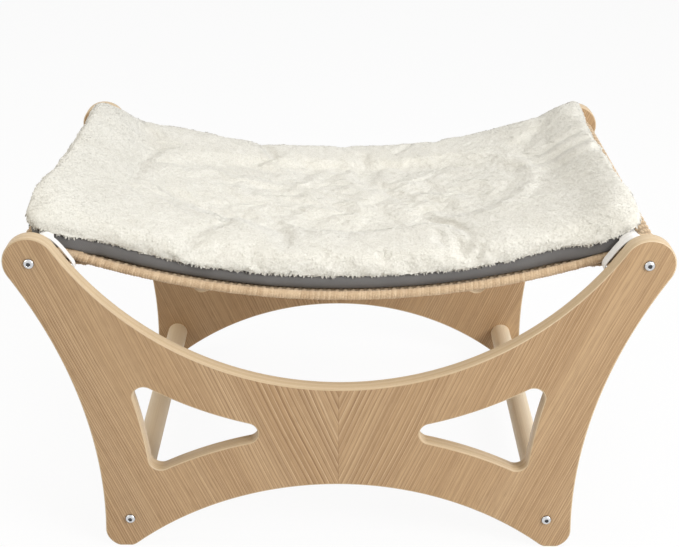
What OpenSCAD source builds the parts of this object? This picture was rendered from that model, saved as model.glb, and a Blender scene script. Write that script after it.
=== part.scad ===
// Cat hammock: two cut wood panels, four dowels, a woven sling and a padded cushion.
// Millimetres. X runs left to right, Y from the front panel to the rear one, Z up.
// The origin is on the floor under the middle of the hammock.

/* [Panels] */
// Thickness of each panel
panel_thickness = 15; // [12:0.5:18]
// Half the spacing of the upper dowels
upper_half_spacing = 261; // [250:1:272]
// Height of the upper dowels' axes
upper_height = 286; // [278:1:296]
// Radius of the rounded upper corners
upper_lobe_radius = 23; // [20:0.5:26]
// Half the spacing of the rounded feet
foot_half_spacing = 197; // [188:1:206]
// Radius of the rounded feet
foot_radius = 18; // [16:0.5:21]
// How much is cut off under each foot to make it flat
foot_flat = 1; // [0.5:0.1:2]
// Height of the top edge at its lowest, in the middle
top_dip_height = 166; // [158:1:174]
// Height of the arch between the feet
arch_height = 67.5; // [60:0.5:74]
// Radius of the hollow side edges
side_radius = 436; // [400:1:480]
// Width of the wood between a window and the top edge
upper_rail_width = 45; // [40:0.5:50]
// Width of the wood between a window and the side edge
side_rail_width = 46; // [42:0.5:50]
// Width of the wood between a window and the arch
lower_rail_width = 53; // [48:0.5:57]
// Radius of a window's corners
window_corner_radius = 10; // [7:0.5:12]

/* [Dowels and fasteners] */
// Diameter of the dowels
dowel_diameter = 22; // [18:0.5:24]
// Length of the dowels, which is the space between the panels
dowel_length = 366; // [340:1:390]
// How far the lower dowels stand in from the feet
lower_dowel_inset = 5.5; // [3:0.5:8]
// How far the lower dowels stand above the middle of the feet
lower_dowel_rise = 13; // [10:0.5:16]
// Diameter of the bolts' shanks
bolt_diameter = 5; // [4:0.5:6]
// Diameter of the bolts' heads
bolt_head_diameter = 9; // [8.5:0.5:11]
// Height of the bolts' heads
bolt_head_height = 2.6; // [2.2:0.1:3.2]
// Width across the flats of the socket in a head
bolt_socket_width = 3; // [2.5:0.1:3.5]
// Depth of the socket in a head
bolt_socket_depth = 1.5; // [1:0.1:2]
// How far a bolt reaches into its insert
bolt_reach = 15; // [10:1:17]
// Diameter of the threaded inserts
insert_diameter = 9; // [8.5:0.5:11]
// Length of the threaded inserts
insert_length = 20; // [18:1:26]
// Radial play of a bolt in its panel
bolt_play = 0.25; // [0.1:0.05:0.5]
// Radial play of an insert in its dowel and of a bolt in its insert
thread_play = 0.1; // [0.05:0.05:0.2]

/* [Sling] */
// Thickness of the woven sheet
sling_thickness = 4.5; // [3.5:0.5:5.5]
// Height of the sheet's middle layer where it hangs lowest
sling_low_height = 242; // [234:1:248]
// How far above the dowels' axes the hanging curve aims
sling_aim = 5; // [3:0.5:7]
// Space between a panel and the woven sheet's edge
sling_gap = 20; // [18:0.5:24]
// Diameter of the corded edges
edge_cord_diameter = 8; // [7:0.5:9]
// Distance from a dowel's axis to the end of its sleeve's tail
sleeve_tail = 45; // [42:1:52]
// How much of the tail is sewn flat under the sheet
sleeve_lap = 12; // [8:1:14]
// Play between a dowel and its sleeve
sleeve_play = 0.15; // [0.1:0.05:0.3]
// Width of the stitching on a tail
seam_width = 2.5; // [2:0.5:4]
// Height of the stitching above the weave
seam_height = 0.8; // [0.5:0.1:1.2]

/* [Pad] */
// How much shorter the pad is than the dowels' spacing, at each end
pad_end_inset = 3; // [0:0.5:6]
// How far the pad lies to the right of the middle
pad_shift = -7; // [-8:1:8]
// How far the pad's sides stand in from the sheet's edges
pad_side_inset = 6; // [4:0.5:10]
// Radius of the pad's corners in plan
pad_corner_radius = 11; // [9:1:16]
// Height of the pad's plain side band
band_height = 12; // [10:0.5:14]
// Thickness of the side band
band_thickness = 3.5; // [3:0.5:5]
// Thickness of the plain base fabric
base_thickness = 1.5; // [1:0.1:2.5]
// Thickness of the fleece where the pad is thickest
fleece_thickness = 8.5; // [7:0.5:10]
// How far the fleece hangs over the side band
fleece_overhang = 3.5; // [2.5:0.5:5]
// How much higher the filling is in the middle than at its edge
filling_crown = 7.5; // [5:0.5:10]
// Depth of the soft hollow in the middle of the pad, inside the roll round its edge
hollow_depth = 6; // [4:0.5:7]
// Depth of the crease across each end, where the pad bends up over a dowel
end_crease_depth = 3; // [2:0.5:4]
// How far the pad's rear left corner is drawn in
corner_pull = 9; // [0:1:10]
// Space between the pad and the sling
pad_rest_gap = 0.4; // [0.3:0.1:1]

/* [Corner loops] */
// Thickness of the elastic
loop_thickness = 1.3; // [1:0.1:2]
// Slack of the elastic round the dowel
loop_slack = 0.6; // [0.4:0.1:1]
// How far the loop reaches in from the dowel's axis
loop_reach = 20; // [18:0.5:23]
// Slope of the loop
loop_tilt = 8; // [4:1:12]
// Space on each side of the loop, to the panel and to the corded edge
loop_side_gap = 1; // [0.5:0.1:2]

/* [Hidden] */
$fn = 64;
panel_arc_steps = 24;
lobe_arc_steps = 20;
corner_arc_steps = 8;
sheet_arc_steps = 40;
sleeve_arc_steps = 30;
loop_arc_steps = 16;
head_arc_steps = 6;
edge_turn_steps = 720;
bore_end_gap = 1;
head_rim = 0.6;
cut = 1;
ramp_lead = 10;
ramp_stop = 5;
ramp_clear = 1.5;
ramp_steps = 12;
least_corner = 4;
middle_inset = 60;
slope_inset = 20;
filling_insets = [14, 34, 62, 84, 110];
fleece_insets = [0, 7, 18, 36, 54, 62, 72, 84, 104, 128];
hollow_end_inset = 78;
hollow_slope = 0.25;
crease_inset = 62;
crease_half_width = 14;
crease_fade = 42;
filling_dent_share = 0.6;
wall_lean = 0.5;
rim_width = 2;
low_share = 0.25;
high_share = 0.75;
lip_share = 0.6;
lip_drop = 1;
tab_share = 0.9;
nx = 20;
ny = 10;

half_space = dowel_length / 2;
half_depth = half_space + panel_thickness;
foot_height = foot_radius - foot_flat;
dowel_radius = dowel_diameter / 2;
upper_seat = [upper_half_spacing, upper_height];
foot_seat = [foot_half_spacing, foot_height];
lower_seat = [foot_half_spacing - lower_dowel_inset, foot_height + lower_dowel_rise];

ends = [["front", -1], ["rear", 1]];
seats = [
  ["top_left", [-upper_seat[0], upper_seat[1]]],
  ["top_right", upper_seat],
  ["bottom_left", [-lower_seat[0], lower_seat[1]]],
  ["bottom_right", lower_seat]
];
sides = [["left", -1], ["right", 1]];

// The node to draw

function angle_of(v) = atan2(v[1], v[0]);
function angle_after(a, b) = b < a ? b + 360 : b;
function angle_before(a, b) = b > a ? b - 360 : b;
function arc_points(c, r, from, to, steps) = [
  for (i = [0:steps])
    let (a = from + (to - from) * i / steps)
      c + r * [cos(a), sin(a)]
];
function arc_up(c, r, p, q, steps) =
  arc_points(c, r, angle_of(p - c), angle_after(angle_of(p - c), angle_of(q - c)), steps);
function arc_down(c, r, p, q, steps) =
  arc_points(c, r, angle_of(p - c), angle_before(angle_of(p - c), angle_of(q - c)), steps);
function flipped(points) = [for (i = [len(points) - 1:-1:0]) [-points[i][0], points[i][1]]];

// Where two circles meet, on the left (1) or right (-1) of the line from the first to the second
function circles_meet(c1, r1, c2, r2, side) =
  let (
    d = norm(c2 - c1),
    along = (r1 * r1 - r2 * r2 + d * d) / (2 * d),
    across = sqrt(r1 * r1 - along * along),
    e = (c2 - c1) / d
  ) c1 + along * e + side * across * [-e[1], e[0]];

// The four hollow edges of a panel: each arc touches the two lobes it runs between
top_rise = upper_height - top_dip_height + upper_lobe_radius;
top_lift = (pow(upper_half_spacing, 2) - pow(top_rise, 2)) / (2 * top_rise);
top_centre = [0, upper_height + top_lift];
top_radius = top_lift + upper_height - top_dip_height;
arch_rise = arch_height - foot_height + foot_radius;
arch_drop = (pow(foot_half_spacing, 2) - pow(arch_rise, 2)) / (2 * arch_rise);
arch_centre = [0, foot_height - arch_drop];
arch_radius = arch_drop + arch_height - foot_height;
side_centre = circles_meet(upper_seat, side_radius + upper_lobe_radius,
  foot_seat, side_radius + foot_radius, 1);

outline_half = concat(
  arc_up(top_centre, top_radius, [0, 0], upper_seat, panel_arc_steps),
  arc_down(upper_seat, upper_lobe_radius, top_centre, side_centre, lobe_arc_steps),
  arc_up(side_centre, side_radius, upper_seat, foot_seat, panel_arc_steps),
  arc_down(foot_seat, foot_radius, side_centre, arch_centre, lobe_arc_steps),
  arc_up(arch_centre, arch_radius, foot_seat, [0, arch_height], panel_arc_steps)
);

// A window has edges that run along the panel's own, and three rounded corners
window_top = top_radius + upper_rail_width;
window_side = side_radius + side_rail_width;
window_low = arch_radius + lower_rail_width;
corner_up = circles_meet(top_centre, window_top + window_corner_radius,
  side_centre, window_side + window_corner_radius, -1);
corner_in = circles_meet(top_centre, window_top + window_corner_radius,
  arch_centre, window_low + window_corner_radius, 1);
corner_low = circles_meet(side_centre, window_side + window_corner_radius,
  arch_centre, window_low + window_corner_radius, -1);
window_outline = concat(
  arc_down(corner_in, window_corner_radius, arch_centre, top_centre, corner_arc_steps),
  arc_up(top_centre, window_top, corner_in, corner_up, panel_arc_steps),
  arc_down(corner_up, window_corner_radius, top_centre, side_centre, corner_arc_steps),
  arc_up(side_centre, window_side, corner_up, corner_low, panel_arc_steps),
  arc_down(corner_low, window_corner_radius, side_centre, arch_centre, corner_arc_steps),
  arc_up(arch_centre, window_low, corner_low, corner_in, panel_arc_steps)
);

module panel_face() {
  difference() {
    intersection() {
      polygon(concat(outline_half, flipped(outline_half)));
      translate([-upper_half_spacing - upper_lobe_radius - cut, 0])
        square([2 * (upper_half_spacing + upper_lobe_radius + cut), upper_height + upper_lobe_radius + cut]);
    }
    polygon(window_outline);
    polygon(flipped(window_outline));
    for (s = seats)
      translate(s[1])
        circle(d = bolt_diameter + 2 * bolt_play);
  }
}

module panel(back_y) {
  color([0.79, 0.66, 0.49])
    translate([0, back_y, 0])
      rotate([90, 0, 0])
        linear_extrude(panel_thickness)
          panel_face();
}

module front_panel() {
  panel(-half_space);
}

module rear_panel() {
  panel(half_depth);
}

module dowel(seat) {
  bore_depth = insert_length + bore_end_gap;
  color([0.89, 0.78, 0.6])
    translate([seat[0], half_space, seat[1]])
      rotate([90, 0, 0])
        difference() {
          cylinder(d = dowel_diameter, h = dowel_length);
          for (z = [-cut, dowel_length - bore_depth])
            translate([0, 0, z])
              cylinder(d = insert_diameter + 2 * thread_play, h = bore_depth + cut);
        }
}

// Turns a piece that points along +Z into one that points into the frame at an end
module at_end(end, seat, y) {
  translate([seat[0], end * y, seat[1]])
    rotate([end * 90, 0, 0])
      children();
}

module bolt(end, seat) {
  radius = bolt_head_diameter / 2;
  dome = [
    for (i = [0:head_arc_steps])
      let (a = 90 * i / head_arc_steps)
        [radius * sin(a), -head_rim - (bolt_head_height - head_rim) * cos(a)]
  ];
  color([0.78, 0.79, 0.8])
    at_end(end, seat, half_depth) {
      difference() {
        rotate_extrude()
          polygon(concat(dome, [[radius, 0], [0, 0]]));
        translate([0, 0, -bolt_head_height - cut])
          cylinder(d = bolt_socket_width / cos(30), h = bolt_socket_depth + cut, $fn = 6);
      }
      cylinder(d = bolt_diameter, h = panel_thickness + bolt_reach);
    }
}

module insert(end, seat) {
  color([0.8, 0.68, 0.42])
    at_end(end, seat, half_space)
      difference() {
        cylinder(d = insert_diameter, h = insert_length);
        translate([0, 0, -cut])
          cylinder(d = bolt_diameter + 2 * thread_play, h = insert_length + 2 * cut);
      }
}

// The sheet hangs in an arc, and each end wraps a dowel and is sewn back under itself
sheet_sag = upper_height + sling_aim - sling_low_height;
sheet_radius = (pow(upper_half_spacing, 2) + pow(sheet_sag, 2)) / (2 * sheet_sag);
sheet_centre = sling_low_height + sheet_radius;
sheet_upper_radius = sheet_radius - sling_thickness / 2;
sheet_lower_radius = sheet_radius + sling_thickness / 2;
function sheet_upper(x) = sheet_centre - sqrt(pow(sheet_upper_radius, 2) - x * x);
function sheet_lower(x) = sheet_centre - sqrt(pow(sheet_lower_radius, 2) - x * x);
half_sling = half_space - sling_gap;
sleeve_bore = dowel_radius + sleeve_play;
sleeve_radius = sleeve_bore + sling_thickness;
tail_x = upper_half_spacing - sleeve_tail;
tail_upper = [tail_x, sheet_upper(tail_x)];
tail_mid = [tail_x, sheet_lower(tail_x)];
tail_lower = tail_mid - [0, sling_thickness];
lap_end = [tail_x + sleeve_lap, sheet_lower(tail_x + sleeve_lap)];

// The angle at which a line from p touches a circle, above (-1) or below (1)
function touch_angle(p, c, r, side) =
  angle_after(0, angle_of(p - c)) + side * acos(r / norm(p - c));
function wrap_points(p, q, r) =
  arc_points(upper_seat, r, touch_angle(p, upper_seat, r, -1),
    touch_angle(q, upper_seat, r, 1) - 360, sleeve_arc_steps);

sheet_half = concat(
  [for (i = [0:sheet_arc_steps]) let (x = tail_x * i / sheet_arc_steps) [x, sheet_upper(x)]],
  wrap_points(tail_upper, tail_lower, sleeve_radius),
  [tail_lower],
  [for (i = [sheet_arc_steps:-1:0]) let (x = tail_x * i / sheet_arc_steps) [x, sheet_lower(x)]]
);
sleeve_hollow = concat(wrap_points(lap_end, lap_end, sleeve_bore), [lap_end]);

// Extrudes an X-Z outline along Y between two places
module along_y(y0, y1) {
  translate([0, y1, 0])
    rotate([90, 0, 0])
      linear_extrude(y1 - y0)
        children();
}

module sling_sheet() {
  color([0.8, 0.64, 0.42])
    along_y(-half_sling, half_sling)
      difference() {
        polygon(concat(sheet_half, flipped(sheet_half)));
        polygon(sleeve_hollow);
        polygon(flipped(sleeve_hollow));
      }
}

edge_cord_offset = edge_cord_diameter / 4;
edge_cord_reach = edge_cord_offset + edge_cord_diameter / 2;

module sling_edge(end) {
  half_angle = asin(tail_x / sheet_radius);
  color([0.82, 0.67, 0.45])
    translate([0, end * half_sling, sheet_centre])
      rotate([-90, 0, 0])
        rotate([0, 0, 90 - half_angle])
          rotate_extrude(angle = 2 * half_angle, $fn = edge_turn_steps)
            translate([sheet_radius, 0])
              intersection() {
                translate([0, end * edge_cord_offset])
                  circle(d = edge_cord_diameter, $fn = 32);
                translate([-edge_cord_diameter, end < 0 ? -edge_cord_reach - cut : 0])
                  square([2 * edge_cord_diameter, edge_cord_reach + cut]);
              }
}

tail_touch_angle = touch_angle(tail_lower, upper_seat, sleeve_radius, 1);
tail_touch = upper_seat + sleeve_radius * [cos(tail_touch_angle), sin(tail_touch_angle)];
tail_slope = (tail_touch[1] - tail_lower[1]) / (tail_touch[0] - tail_lower[0]);
function tail_under(x) = tail_lower[1] + tail_slope * (x - tail_x);

module sleeve_seam(side) {
  x0 = tail_x + (sleeve_lap - seam_width) / 2;
  x1 = x0 + seam_width;
  color([0.86, 0.78, 0.62])
    along_y(-half_sling, half_sling)
      polygon([
        [side * x0, tail_under(x0)],
        [side * x1, tail_under(x1)],
        [side * x1, tail_under(x1) - seam_height],
        [side * x0, tail_under(x0) - seam_height]
      ]);
}

// The top of a sleeve, from the end of its tail to the dowel's axis
sleeve_touch_angle = touch_angle(tail_upper, upper_seat, sleeve_radius, -1);
sleeve_touch = upper_seat + sleeve_radius * [cos(sleeve_touch_angle), sin(sleeve_touch_angle)];
sleeve_slope = (sleeve_touch[1] - tail_upper[1]) / (sleeve_touch[0] - tail_x);
function sleeve_top(x) = x < sleeve_touch[0]
  ? tail_upper[1] + sleeve_slope * (x - tail_x)
  : upper_height + sqrt(pow(sleeve_radius, 2) - pow(x - upper_half_spacing, 2));

// The pad's underside follows the sheet and rises over the sleeves at both ends
ramp_from = tail_x - ramp_lead;
ramp_to = upper_half_spacing - ramp_stop;
function smooth(t) = let (c = max(0, min(1, t))) c * c * (3 - 2 * c);
function ramp_share(x) = smooth((abs(x) - ramp_from) / (ramp_to - ramp_from));
ramp_rise = max(
  sleeve_top(upper_half_spacing) - sheet_upper(upper_half_spacing) + ramp_clear,
  max([
    for (i = [1:ramp_steps])
      let (x = tail_x + sleeve_tail * i / ramp_steps)
        (sleeve_top(x) - sheet_upper(x) + pad_rest_gap) / ramp_share(x)
  ])
);
function pad_under(x) = sheet_upper(x) + pad_rest_gap + ramp_rise * ramp_share(x);

pad_half_length = upper_half_spacing - pad_end_inset;
pad_half_width = half_sling - pad_side_inset;
function clamp(v, limit) = max(-limit, min(limit, v));

// Places of the points round a pad's edge, on a square from -1 to 1, closer near the corners
function spread(i, steps) = sin(180 * i / steps - 90);
edge_places = concat(
  [for (i = [0:nx - 1]) [spread(i, nx), -1]],
  [for (i = [0:ny - 1]) [1, spread(i, ny)]],
  [for (i = [0:nx - 1]) [-spread(i, nx), 1]],
  [for (i = [0:ny - 1]) [-1, -spread(i, ny)]]
);
edge_count = len(edge_places);

// The hollow is an oval inside the roll; it has its full depth within a slope
function hollow(x, y) =
  let (reach = [pad_half_length - hollow_end_inset, pad_half_width - middle_inset])
    hollow_depth * smooth((1 - norm([(x - pad_shift) / reach[0], y / reach[1]])) / hollow_slope);

// The crease runs across the pad and fades out towards the front and the rear
function end_crease(x, y) =
  let (off = abs(abs(x - pad_shift) - (pad_half_length - crease_inset)))
    end_crease_depth * smooth(1 - off / crease_half_width)
      * smooth((pad_half_width - middle_inset - abs(y)) / crease_fade);
function dent(x, y) = hollow(x, y) + end_crease(x, y);

// The pull at a place: none at the right end and along the front, all of it at the rear left corner
function pull(x, y) =
  corner_pull * max(0, min(1, 0.5 - (x - pad_shift) / (2 * pad_half_length)))
    * max(0, min(1, 0.5 + y / (2 * pad_half_width)));

// One ring of the pad: inset from the side band's face, at a height above the underside,
// and let down by a share of the dents
function pad_ring(inset, height, share) =
  let (
    half = [pad_half_length - inset, pad_half_width - inset],
    r = max(pad_corner_radius - inset, least_corner)
  ) [
    for (p = edge_places)
      let (
        q = [p[0] * half[0], p[1] * half[1]],
        core = [clamp(q[0], half[0] - r), clamp(q[1], half[1] - r)],
        plain_x = core[0] + r * (q - core)[0] / norm(q - core) + pad_shift,
        y = core[1] + r * (q - core)[1] / norm(q - core),
        x = plain_x + pull(plain_x, y)
      ) [x, y, pad_under(x) + height - share * dent(plain_x, y)]
  ];

// True on the way out to the side band; it picks the diagonal, so that two layers split alike
function outward(p, q) = q[0] < p[0] || (q[0] == p[0] && q[1] > p[1]);

// Closes a row of rings into a solid, from the ring that ends below to the one that ends above
module pad_loft(profile) {
  rings = [for (p = profile) pad_ring(p[0], p[1], len(p) > 2 ? p[2] : 0)];
  last = (len(rings) - 1) * edge_count;
  far = 2 * nx + ny;
  function cap(base) = concat(
    [for (i = [0:nx - 1]) [base + i, base + i + 1, base + far - i - 1]],
    [for (i = [0:nx - 1]) [base + i, base + far - i - 1, base + far - i]],
    [for (j = [nx + 1:nx + ny - 1]) [base + nx, base + j, base + j + 1]],
    [for (j = [far + 1:far + ny - 1]) [base + far, base + j, base + (j + 1) % edge_count]]
  );
  wall = [
    for (k = [0:len(rings) - 2], i = [0:edge_count - 1])
      let (
        a = k * edge_count + i,
        b = k * edge_count + (i + 1) % edge_count,
        c = b + edge_count,
        d = a + edge_count
      ) each outward(profile[k], profile[k + 1]) ? [[a, d, c], [a, c, b]] : [[a, d, b], [d, c, b]]
  ];
  polyhedron(
    points = [for (r = rings) each r],
    faces = concat(wall, cap(0), [for (f = cap(last)) [f[2], f[1], f[0]]])
  );
}

// How far the top has risen to its full height at an inset from the side band
function rise(inset) = sqrt(1 - pow(1 - min(1, inset / middle_inset), 3));

// Rings that two layers share, as [inset, height] or [inset, height, share of the dents]
wall_inset = band_thickness + wall_lean;
band_top_out = [band_thickness - rim_width, band_height];
band_top_in = [band_thickness, band_height];
band_in_high = [wall_inset, band_height * high_share];
band_in_low = [wall_inset, base_thickness * 2];
floor_edge = [wall_inset + base_thickness, base_thickness];
floor_slope = [slope_inset, base_thickness];
floor_middle = [middle_inset, base_thickness];
filling_rings = [
  for (d = filling_insets)
    [d, band_height + filling_crown * rise(d), filling_dent_share]
];
fleece_rings = [
  for (d = fleece_insets)
    [d, band_height + fleece_thickness + filling_crown * rise(d), 1]
];
function backwards(list) = [for (i = [len(list) - 1:-1:0]) list[i]];

module pad_base() {
  color([0.36, 0.36, 0.38])
    pad_loft([
      [middle_inset, 0],
      [slope_inset, 0],
      [wall_inset / 2, 0],
      [0, band_height * low_share],
      [0, band_height * high_share],
      band_top_out,
      band_top_in,
      band_in_high,
      band_in_low,
      floor_edge,
      floor_slope,
      floor_middle
    ]);
}

module pad_filling() {
  color([0.95, 0.95, 0.94])
    pad_loft(concat(
      [floor_middle, floor_slope, floor_edge, band_in_low, band_in_high, band_top_in],
      filling_rings
    ));
}

module pad_fleece() {
  color([0.95, 0.94, 0.91])
    pad_loft(concat(
      backwards(filling_rings),
      [
        band_top_in,
        band_top_out,
        [-fleece_overhang * lip_share, band_height - lip_drop],
        [-fleece_overhang, band_height + fleece_thickness * low_share],
        [-fleece_overhang * high_share, band_height + fleece_thickness * lip_share]
      ],
      fleece_rings
    ));
}

// An elastic loop goes round the bare end of an upper dowel, and a tab joins it to the pad
loop_inner = dowel_radius + loop_slack;
loop_outer = loop_inner + loop_thickness;
loop_far = upper_seat + loop_reach * [-cos(loop_tilt), sin(loop_tilt)];
loop_back = half_sling + edge_cord_reach + loop_side_gap;
loop_front = half_space - loop_side_gap;
tab_end = pad_half_width - band_thickness;
// A sleeve and the space under it, which the tab stays above
sleeve_shadow = concat([[tail_x, 0], tail_upper], wrap_points(tail_upper, tail_lower, sleeve_radius));
function belt_points(r) = concat(
  arc_points(upper_seat, r, 90 - loop_tilt, -90 - loop_tilt, loop_arc_steps),
  arc_points(loop_far, r, 270 - loop_tilt, 90 - loop_tilt, loop_arc_steps)
);

module loop_band() {
  difference() {
    polygon(belt_points(loop_outer));
    polygon(belt_points(loop_inner));
  }
}

module corner_loop(end, side) {
  color([0.93, 0.92, 0.9])
    mirror([0, end > 0 ? 1 : 0, 0])
      mirror([side < 0 ? 1 : 0, 0, 0]) {
        along_y(-loop_front, -loop_back)
          loop_band();
        along_y(-loop_front, -tab_end)
          difference() {
            intersection() {
              loop_band();
              translate(loop_far - [loop_outer * tab_share, 0])
                square([loop_outer * tab_share, loop_outer + cut]);
            }
            translate([0, pad_rest_gap])
              polygon(sleeve_shadow);
          }
      }
}

front_panel();
rear_panel();
for (s = seats)
  dowel(s[1]);
for (e = ends, s = seats)
  bolt(e[1], s[1]);
for (e = ends, s = seats)
  insert(e[1], s[1]);
sling_sheet();
for (e = ends)
  sling_edge(e[1]);
for (s = sides)
  sleeve_seam(s[1]);
pad_base();
pad_filling();
pad_fleece();
for (e = ends, s = sides)
  corner_loop(e[1], s[1]);
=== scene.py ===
import math

import bmesh
import bpy
import numpy as np
from mathutils import Matrix, Vector, geometry, noise


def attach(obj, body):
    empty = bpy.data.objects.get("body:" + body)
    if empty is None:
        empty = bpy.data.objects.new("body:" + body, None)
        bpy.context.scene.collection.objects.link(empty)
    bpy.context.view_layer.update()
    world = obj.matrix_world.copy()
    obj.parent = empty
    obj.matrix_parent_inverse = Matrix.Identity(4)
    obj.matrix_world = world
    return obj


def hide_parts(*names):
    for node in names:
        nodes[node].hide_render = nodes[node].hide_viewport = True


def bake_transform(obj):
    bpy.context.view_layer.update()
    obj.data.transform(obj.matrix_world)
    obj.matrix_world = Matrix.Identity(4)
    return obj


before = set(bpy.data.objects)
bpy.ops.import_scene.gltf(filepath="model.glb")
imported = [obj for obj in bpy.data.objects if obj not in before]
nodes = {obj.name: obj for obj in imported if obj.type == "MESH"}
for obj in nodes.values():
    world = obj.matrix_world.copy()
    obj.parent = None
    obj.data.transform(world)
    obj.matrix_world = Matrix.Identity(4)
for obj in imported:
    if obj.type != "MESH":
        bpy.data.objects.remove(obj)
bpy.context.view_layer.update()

scene = bpy.context.scene
mm = 0.001
print("frame loaded:", len(nodes), "nodes")


# camera

cameraSet = dict(place=(0.000304, -1.197346, 0.727656), focalPixels=1300, imageWidth=679, sensor=36,
                 pitch=65.7765, roll=0.003327)


def addCamera():
    data = bpy.data.cameras.new("photo_camera")
    data.sensor_fit = "HORIZONTAL"
    data.sensor_width = cameraSet["sensor"]
    data.lens = cameraSet["focalPixels"] * cameraSet["sensor"] / cameraSet["imageWidth"]
    camera = bpy.data.objects.new("photo_camera", data)
    scene.collection.objects.link(camera)
    camera.location = cameraSet["place"]
    pitch = Matrix.Rotation(math.radians(cameraSet["pitch"]), 3, "X")
    camera.rotation_euler = (pitch @ Matrix.Rotation(cameraSet["roll"], 3, "Z")).to_euler()
    scene.camera = camera


addCamera()
print("camera set")


# helpers for nodes; an input is a socket, which gets a link, or a constant

def put(tree, kind, inputs=None, **settings):
    node = tree.nodes.new(kind)
    for key, value in settings.items():
        setattr(node, key, value)
    for key, value in (inputs or {}).items():
        if isinstance(value, bpy.types.NodeSocket):
            tree.links.new(value, node.inputs[key])
        else:
            node.inputs[key].default_value = value
    return node


def calc(tree, operation, a, b=0.0, c=0.0):
    return put(tree, "ShaderNodeMath", {0: a, 1: b, 2: c}, operation=operation).outputs[0]


def times(tree, a, b):
    return calc(tree, "MULTIPLY", a, b)


def plus(tree, a, b):
    return calc(tree, "ADD", a, b)


# the sum of some values, each times its share
def weighted(tree, *parts):
    terms = [times(tree, value, share) for value, share in parts]
    total = terms.pop()
    while terms:
        total = plus(tree, terms.pop(), total)
    return total


def spread(tree, value, low, high, toLow=0.0, toHigh=1.0):
    return put(tree, "ShaderNodeMapRange", {0: value, 1: low, 2: high, 3: toLow, 4: toHigh}).outputs[0]


def noiseAt(tree, place, scale, detail, rough=0.5):
    return put(tree, "ShaderNodeTexNoise",
               {"Vector": place, "Scale": scale, "Detail": detail, "Roughness": rough}).outputs[0]


def vectorOf(tree, x, y, z):
    return put(tree, "ShaderNodeCombineXYZ", {0: x, 1: y, 2: z}).outputs[0]


def apart(tree, vector):
    return put(tree, "ShaderNodeSeparateXYZ", {0: vector}).outputs


# a colour with others laid over it, each by its own factor
def layered(tree, colour, *layers):
    for factor, tint in layers:
        colour = put(tree, "ShaderNodeMix", {0: factor, 6: colour, 7: tint}, data_type="RGBA").outputs[2]
    return colour


def makeGroup(name, inputs, outputs):
    tree = bpy.data.node_groups.new(name, "ShaderNodeTree")
    for label, value in inputs.items():
        kind = "NodeSocketVector" if isinstance(value, tuple) else "NodeSocketFloat"
        tree.interface.new_socket(label, in_out="INPUT", socket_type=kind).default_value = value
    for label in outputs:
        tree.interface.new_socket(label, in_out="OUTPUT", socket_type="NodeSocketFloat")
    return tree, put(tree, "NodeGroupInput").outputs


def useGroup(tree, group, inputs):
    return put(tree, "ShaderNodeGroup", inputs, node_tree=group).outputs


def newMaterial(name, **constants):
    material = bpy.data.materials.new(name)
    material.use_nodes = True
    tree = material.node_tree
    tree.nodes.clear()
    shader = put(tree, "ShaderNodeBsdfPrincipled",
                 {key.replace("_", " "): value for key, value in constants.items()})
    put(tree, "ShaderNodeOutputMaterial", {"Surface": shader.outputs[0]})
    return material, tree, shader


def connect(tree, shader, colour, normal, rough=None):
    tree.links.new(colour, shader.inputs["Base Color"])
    tree.links.new(normal, shader.inputs["Normal"])
    if rough is not None:
        tree.links.new(rough, shader.inputs["Roughness"])


def bumpFrom(tree, height, strength, distance):
    return put(tree, "ShaderNodeBump",
               {"Height": height, "Strength": strength, "Distance": distance}).outputs[0]


def stored(tree, label, output="Fac"):
    return put(tree, "ShaderNodeAttribute", attribute_name=label).outputs[output]


# the place on the object in millimetres
def objectPlace(tree):
    place = put(tree, "ShaderNodeTexCoord").outputs["Object"]
    return put(tree, "ShaderNodeVectorMath", {0: place, 3: 1 / mm}, operation="SCALE").outputs[0]


# wood grain of the boards, their edges and the dowels, in millimetres; each streak has its scale
# across and along the grain, an offset to the seed, and its detail
grainForm = dict(drift=(0.011, 0.004), broad=(0.028, 0.0016, 0.0, 1.0), patch=(0.02, 0.003, 5.3, 1.0),
                 fine=(1.0, 0.004, 3.7, 2.0), pore=(2.6, 0.06, 7.9, 1.0), beat=(0.028, 0.0012, 9.1, 1.0),
                 beatSize=3.4, crowding=0.0024, weakest=0.4, dark=(0.52, 0.97), pale=(0.3, 0.04))


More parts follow.
